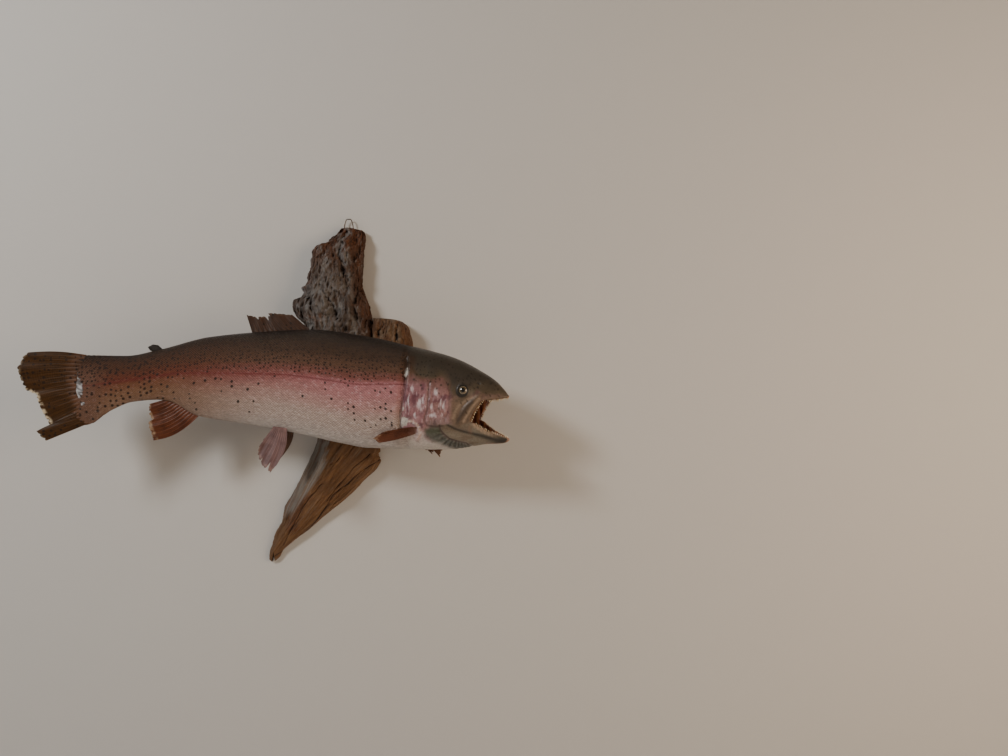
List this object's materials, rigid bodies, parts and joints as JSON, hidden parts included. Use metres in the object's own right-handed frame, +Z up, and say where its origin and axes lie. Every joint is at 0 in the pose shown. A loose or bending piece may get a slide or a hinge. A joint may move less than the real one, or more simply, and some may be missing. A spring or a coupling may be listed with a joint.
{
  "type": "mounted rainbow trout",
  "caption": "Wall-mounted rainbow trout with open jaws, a gently curved body and spread fins, fixed to rough driftwood that hangs by a wire loop.",
  "frame": {"origin": "on the driftwood's flat back, below the wire loop and level with the middle of the fish", "axes": "+Z up, +Y into the wall, +X towards the fish's head"},
  "size_m": [0.7001, 0.1455, 0.551],
  "materials": {
    "skin_back": "varnished",
    "skin_flank": "varnished",
    "skin_jaw": "varnished",
    "gill_cover": "pearly varnish",
    "fin": "varnished",
    "tail_fin": "varnished",
    "adipose": "varnished",
    "glass_eye": "polished",
    "bark": "weathered",
    "split_wood": "weathered",
    "wire": "tarnished"
  },
  "bodies": {
    "root": {"head": "skin_back", "throat": "skin_jaw", "lower_jaw": "skin_jaw", "maxilla_right": "skin_jaw", "maxilla_left": "skin_jaw", "gill_cover_right": "gill_cover", "gill_cover_left": "gill_cover", "eye_right": "glass_eye", "eye_left": "glass_eye", "trunk": "skin_flank", "tail_stalk": "skin_flank", "tail_fin": "tail_fin", "dorsal_fin": "fin", "adipose_fin": "adipose", "anal_fin": "fin", "pelvic_fin_right": "fin", "pelvic_fin_left": "fin", "pectoral_fin_right": "fin", "pectoral_fin_left": "fin", "driftwood_bark": "bark", "driftwood_knot": "bark", "driftwood_prong": "split_wood", "hanger_loop": "wire"}
  },
  "joints": []
}
